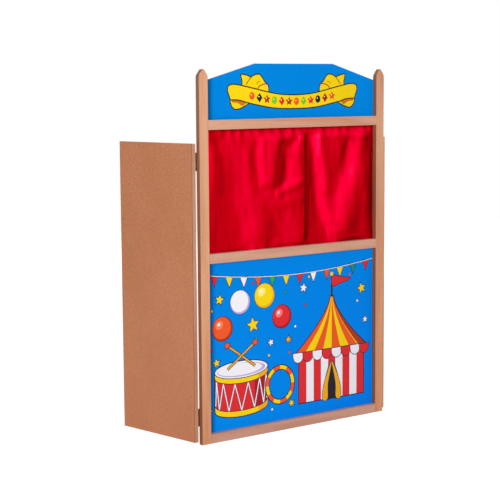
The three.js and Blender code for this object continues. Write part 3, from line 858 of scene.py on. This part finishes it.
# Creases: from a point to a point, how far forward in millimetres, and the half width
LEFT_CREASES = (
    ((-92, 1150), (-82, 1100), 1.6, 12), ((-150, 1120), (-148, 1010), 2.0, 13),
    ((-22, 1152), (42, 1128), 4.0, 18), ((-20, 1088), (42, 1066), 5.0, 21), ((-72, 929), (50, 973), 4.0, 18),
    ((-52, 884), (24, 902), 2.4, 22), ((-64, 731), (42, 728), 3.0, 22),
    ((-300, 900), (-230, 800), 1.2, 30), ((-100, 880), (-60, 810), 1.4, 18),
    ((-210, 770), (-250, 720), 1.4, 24),
)
RIGHT_CREASES = (
    ((136, 1170), (142, 1100), 1.2, 13), ((280, 1115), (264, 1060), -1.4, 15),
    ((164, 775), (174, 735), -1.2, 16), ((330, 1170), (336, 1120), 1.2, 13),
)
# Pleats under the pocket: place, half width, how far forward, and how far down each runs
LEFT_GATHERS = (
    (-390, 10, 3.2, 60), (-337, 10, 2.6, 50), (-292, 10, 3.0, 60), (-250, 9, 2.8, 70), (-205, 8, 1.8, 44),
    (-162, 11, 3.2, 60), (-110, 9, 1.8, 44), (-66, 11, 3.6, 70), (-6, 11, 4.4, 70), (30, 8, 2.2, 36),
)
RIGHT_GATHERS = (
    (100, 8, 1.6, 50), (148, 12, 3.0, 56), (190, 9, 1.2, 44), (230, 12, 3.2, 56), (270, 11, 2.6, 50),
    (361, 13, 3.6, 60), (399, 9, 3.2, 50),
)


def ease(share):
    return 0.5 - 0.5 * cos(pi * min(max(share, 0.0), 1.0))


def smooth_through(places, values, at):
    """A smooth course through the points, which never swings beyond them."""
    last = len(places) - 1
    if at <= places[0]:
        return values[0]
    if at >= places[last]:
        return values[last]
    steps = [(values[k + 1] - values[k]) / (places[k + 1] - places[k]) for k in range(last)]

    def lean(k):
        if k in (0, last) or steps[k - 1] * steps[k] <= 0:
            return 0.0
        return 2 * steps[k - 1] * steps[k] / (steps[k - 1] + steps[k])

    i = next(k for k in range(last) if at <= places[k + 1])
    run = places[i + 1] - places[i]
    t = (at - places[i]) / run
    rise = t * t * (3 - 2 * t)
    return (values[i] + (values[i + 1] - values[i]) * rise
            + run * (t * (1 - t) ** 2 * lean(i) - t * t * (1 - t) * lean(i + 1)))


def fold_course(curtain, z):
    """Where the folds are and how far forward they stand at one height."""
    known = curtain["courses"]
    if z not in known:
        fallen = [LEVELS[0] - level for level in LEVELS]
        down = LEVELS[0] - z
        known[z] = tuple([smooth_through(fallen, row[k], down) for row in curtain["folds"]] for k in (0, 1))
    return known[z]


def crease_at(creases, x, z):
    """How far the creases push the cloth forward at a place."""
    total = 0.0
    here = Vector((x, z))
    for start, end, rise, half in creases:
        start, end = Vector(start), Vector(end)
        run = end - start
        share = min(max((here - start).dot(run) / run.length_squared, 0.0), 1.0)
        nearest = start + run * share
        off = (here - nearest).length / half
        if off < REACH_WIDTHS:
            total += rise * (1 - 0.4 * share) * exp(-off * off)
    return total


def gathers_at(gathers, x, z):
    """How far the pleats push the cloth forward: each widens and fades on its way down."""
    drop = max(POCKET_FOOT - z, 0.0)
    total = 0.0
    for place, half, rise, depth in gathers:
        if drop > depth:
            continue
        off = (x - place) / (half * (1 + drop / depth * 1.3))
        if abs(off) < REACH_WIDTHS:
            total += rise * (1 - drop / depth) ** 0.8 * exp(-off * off)
    return total


def cloth_y(curtain, x, z):
    """Depth of the cloth's middle at a place across and up."""
    side = curtain["side"]
    below_pocket = POCKET_FOOT - z
    above_sill = ease((z - SILL_TOP - 1) / SILL_RUN)
    below_rail = ease((TOP_RAIL_FOOT - z) / BILLOW_RUNS[side])
    beside_post = ease((POST_INNER - abs(x)) / SIDE_RUN)
    free = min(above_sill, below_rail)
    forward = smooth_through(*fold_course(curtain, z), x)
    tucked = min(forward, TUCKED_REACH[side])
    y = CLOTH_BACK - tucked - (forward - tucked) * min(free, beside_post)
    # What lies behind the other curtain at the lap is kept flat
    unlapped = 1.0 if side < 0 else ease((x - MEETING + LAP / 2) / UNLAPPED_RUN)
    y -= crease_at(curtain["creases"], x, z) * (0.35 + 0.65 * free) * unlapped
    ripple, fine = (
        depth * noise.noise(Vector((x * across, z * up, curtain["seed"] + shift)))
        for (depth, across, up), shift in zip(RIPPLES, (0, 9))
    )
    y -= (ripple + fine) * (0.3 + 0.7 * free) * (0.3 + 0.7 * unlapped)
    # Under the pocket the cloth comes back to the rod, and the curtains part beside the lap
    hang = ease(below_pocket / GATHER_RUN)
    y = ROD_Y + (y - ROD_Y) * hang
    beside_lap = ease(1 - abs(x - MEETING) / BESIDE_LAP) * ease(below_pocket / LAP_RUN) * (1 - hang)
    y += side * LAP_PARTING * beside_lap
    y -= gathers_at(curtain["gathers"], x, z) * (0.5 + 0.5 * ease(below_pocket / PLEAT_RUN)) * unlapped
    behind_rail = z > TOP_RAIL_FOOT - 3 or z < SILL_TOP + 2
    return min(max(y, BACK_FACE + RAIL_CLEARANCE if behind_rail else CLOTH_FRONT), CLOTH_BACK)


def curtain_profile():
    """The cloth's path in section, from the turned hem up the front, over the rod and down behind.

    Each point is a kind, a height and an angle round the rod.
    """
    rows, hem_fold, clear, heading_step, back_step = 84, 0.6, 3, 1.7, 2.5
    path = [("back", HEM_Z + HEM_TURN * (1 - i / 4), 0) for i in range(5)]
    path.append(("fold", HEM_Z - hem_fold, 0))
    path += [("front", HEM_Z + (POCKET_FOOT - clear - HEM_Z) * (i / rows), 0) for i in range(rows + 1)]
    path += [("round", 0, angle) for angle in range(-60, 61, 20)]
    heading = [ROD_Z + POCKET_RADIUS + 1 + i * heading_step for i in range(3)]
    path += [("front", z, 0) for z in heading]
    path.append(("fold", HEAD_Z, 0))
    path += [("back", z, 0) for z in heading[::-1]]
    path += [("round", 0, angle) for angle in range(120, 241, 20)]
    path += [("back", POCKET_FOOT - clear - i * back_step, 0) for i in range(4)]
    return path


def build_curtain(name, curtain, material):
    """The cloth as one sheet, swept along the section from its outer edge to its leading one."""
    side = curtain["side"]
    outer = side * (POST_INNER + POST_TUCK)
    stations = STATIONS[side]
    path = curtain_profile()
    vertices = []
    for kind, level, angle in path:
        for i in range(stations):
            turn = radians(angle)
            z = ROD_Z + POCKET_RADIUS * sin(turn) if kind == "round" else level
            lapped = ease((POCKET_FOOT - z) / LAP_RUN)
            lead = MEETING - side * (-POCKET_GAP + (LAP + POCKET_GAP) * lapped) / 2
            x = outer + (lead - outer) * (i / (stations - 1))
            if kind == "round":
                pleat = gathers_at(curtain["gathers"], x, POCKET_FOOT)
                radius = POCKET_RADIUS + POCKET_SWELL * min(max(pleat, LEAST_PLEAT), MOST_PLEAT)
                y = ROD_Y - radius * cos(turn)
            else:
                y = cloth_y(curtain, x, z) + PLY_SIDES[kind] * (CLOTH_HALF + PLY_GAP)
            vertices.append((x, y, z))
    faces = []
    for row in range(len(path) - 1):
        for i in range(stations - 1):
            a = row * stations + i
            quad = [a, a + 1, a + stations + 1, a + stations]
            faces.append(quad if side < 0 else quad[::-1])
    piece = new_piece(name, vertices, faces, material)
    thick = piece.modifiers.new("thickness", "SOLIDIFY")
    thick.thickness, thick.offset = 2 * CLOTH_HALF * MM, 0.0
    solid = bpy.data.meshes.new_from_object(piece.evaluated_get(bpy.context.evaluated_depsgraph_get()))
    piece.modifiers.clear()
    piece.data = solid
    solid.shade_smooth()
    return piece


STITCH, STITCH_PITCH, STITCH_MARGIN, STITCH_LIFT = 2.6, 3.6, 3, 0.3
STITCH_ROWS = (HEM_Z + HEM_TURN - 3, POCKET_FOOT - 5)
STITCH_SECTION = ((-0.15, -0.22), (0.22, 0.0), (-0.15, 0.22))


def build_stitching(name, curtain, low, high, material):
    """Lockstitch dashes along the hem and under the pocket, on the players' side."""
    vertices, faces = [], []
    for z in STITCH_ROWS:
        x = low + STITCH_MARGIN
        while x + STITCH_MARGIN < high - STITCH_MARGIN:
            start = len(vertices)
            for end in (x, x + STITCH):
                y = cloth_y(curtain, end, z) + 2 * CLOTH_HALF + STITCH_LIFT
                vertices += [(end, y + back, z + up) for back, up in STITCH_SECTION]
            corners = ((0, 1, 4, 3), (1, 2, 5, 4), (2, 0, 3, 5), (2, 1, 0), (3, 4, 5))
            faces += [[start + k for k in face] for face in corners]
            x += STITCH_PITCH
    return new_piece(name, vertices, faces, material)


# Each curtain: its side, folds, creases, pleats and seed, its width drawn open, and its flat size in metres
CURTAINS = {
    "left": (-1, LEFT_FOLDS, LEFT_CREASES, LEFT_GATHERS, 3, 104.0, (0.56, 0.55)),
    "right": (1, RIGHT_FOLDS, RIGHT_CREASES, RIGHT_GATHERS, 8, 94.0, (0.45, 0.55)),
}


def hang_curtains(material, sewing):
    for name, (side, folds, creases, gathers, seed, bunched, flat) in CURTAINS.items():
        curtain = dict(side=side, folds=folds, creases=creases, gathers=gathers, seed=seed, courses={})
        lead = MEETING - side * LAP / 2
        low, high = sorted((side * (POST_INNER + POST_TUCK), lead))
        piece = build_curtain(f"{name}_curtain_satin", curtain, material)
        stitches = build_stitching(f"{name}_curtain_stitching", curtain, low, high, sewing)
        for part in (piece, stitches):
            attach(part, f"{name}_curtain")
            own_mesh(part)
        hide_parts(f"{name}_curtain")


# Light and floor

AMBIENT = 0.2
# Each light: where it stands, what it is turned to, its size and its watts
LIGHTS = {
    "key": ((-3.2, -6.57, 2.44), (0, 0, 0.75), 1.6, 379),
    "back_fill": ((2.6, 6.4, 2.5), (0, 0, 0.75), 2.4, 200),
    "side_fill": ((6.0, 1.1, 2.2), (0, 0.1, 0.75), 2.4, 130),
}
FLOOR_HALF = 9.0
FLOOR_GREY = (0.86, 0.86, 0.86, 1)
FLOOR_GLOW, FLOOR_GLOW_SHARE = 1.2, 0.82


def area_light(name, place, target, size, watts):
    light = bpy.data.lights.new(name, "AREA")
    light.shape, light.size, light.energy = "SQUARE", size, watts
    holder = linked(name, light)
    holder.location = place
    holder.rotation_euler = (Vector(target) - Vector(place)).to_track_quat("-Z", "Y").to_euler()


def seen_ray(tree):
    """1 for what the camera sees straight, in a mirror or through glass."""
    path = tree.nodes.new("ShaderNodeLightPath")
    total = path.outputs["Is Camera Ray"]
    for output in ("Is Glossy Ray", "Is Transmission Ray"):
        total = add_node(tree, "Math", {0: total, 1: path.outputs[output]}, operation="MAXIMUM")
    return total


def light_scene():
    """A white backdrop that lights only a little, and the lights."""
    scene = bpy.context.scene
    scene.view_settings.view_transform = "Standard"
    scene.world = bpy.data.worlds.new("studio")
    tree = emptied_tree(scene.world)
    level = add_node(tree, "MapRange", {"Value": seen_ray(tree), "To Min": AMBIENT, "To Max": 1.0})
    background = add_node(tree, "Background", {"Color": (1, 1, 1, 1), "Strength": level})
    tree.links.new(background, tree.nodes.new("ShaderNodeOutputWorld").inputs[0])
    for name, row in LIGHTS.items():
        area_light(name, *row)


def lay_floor():
    """A pale floor that takes a shadow and is seen nearly as white as the backdrop."""
    corners = [(x * FLOOR_HALF, y * FLOOR_HALF, 0) for x, y in ((-1, -1), (1, -1), (1, 1), (-1, 1))]
    mesh = bpy.data.meshes.new("floor")
    mesh.from_pydata(corners, [], [(0, 1, 2, 3)])
    material = bpy.data.materials.new("floor_white")
    tree = emptied_tree(material)
    paint = add_node(tree, "BsdfDiffuse", {"Color": FLOOR_GREY})
    glow = add_node(tree, "Emission", {"Strength": FLOOR_GLOW})
    share = add_node(tree, "Math", {0: seen_ray(tree), 1: FLOOR_GLOW_SHARE}, operation="MULTIPLY")
    blend = add_node(tree, "MixShader", {0: share, 1: paint, 2: glow})
    tree.links.new(blend, tree.nodes.new("ShaderNodeOutputMaterial").inputs[0])
    mesh.materials.append(material)
    floor = linked("floor", mesh)


# Finishes on the CAD nodes

# Each lath: which way its grain runs, and its own tone; the darker tones of the right post and the bottom
# rail are painted shade
LATHS = {
    "left_post": ("Z", (1.0, 1.0, 0.99)), "right_post": ("Z", (0.94, 0.91, 0.91)),
    "bottom_rail": ("X", (0.82, 0.8, 0.97)), "middle_rail": ("X", (0.9, 0.92, 1.06)),
    "top_rail": ("X", (0.975, 0.975, 1.1)),
}
SHARP_EDGE = radians(32)


def dress_nodes():
    """Gives every CAD node its finish, and shades the round steel smooth up to a sharp edge."""
    dark_steel = steel("browned_steel", linear(62, 42, 42), linear(28, 18, 18), 0.42, 0.75)
    bright_steel = steel("zinc_plate", linear(205, 205, 200), linear(160, 162, 160), 0.3, 1.0)
    # The finish of every node whose name ends so; the rest is steel
    materials = {}
    for seed, (name, (along, tone)) in enumerate(LATHS.items(), 1):
        materials[name] = beech(f"beech_{name}", along, tone, seed)
    materials["dowel"] = beech("beech_peg", "X", (0.9, 0.88, 0.86), 7)
    materials["lipping"] = beech("beech_lipping", "Z", (0.86, 0.9, 1.0), 8)
    materials["wing_panel"] = fibreboard("fibreboard")
    materials["header_panel"] = materials["lower_panel"] = painted_sheet("blue_sheet")
    for name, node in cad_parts.items():
        metal = dark_steel if "hinge" in name else bright_steel
        material = next((made for ending, made in materials.items() if name.endswith(ending)), metal)
        mesh = node.data
        mesh.materials.clear()
        mesh.materials.append(material)
        if name.endswith(("curtain_rod", "_pin", "_leaf", "bracket")):
            mesh.shade_smooth()
            mesh.set_sharp_from_angle(angle=SHARP_EDGE)
    return dark_steel, bright_steel


place_camera()
light_scene()
lay_floor()
dark_steel, bright_steel = dress_nodes()
ink = printed_ink("printed_ink")
for piece in (header_ribbon(ink), panel_picture(ink)):
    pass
head = screw_head(SCREW_RADIUS, SCREW_RISE)
hinge_screws(head, dark_steel)
bracket_screws(head, bright_steel)
panel_pins(bright_steel)
hang_curtains(satin("red_satin"), thread("red_thread"))
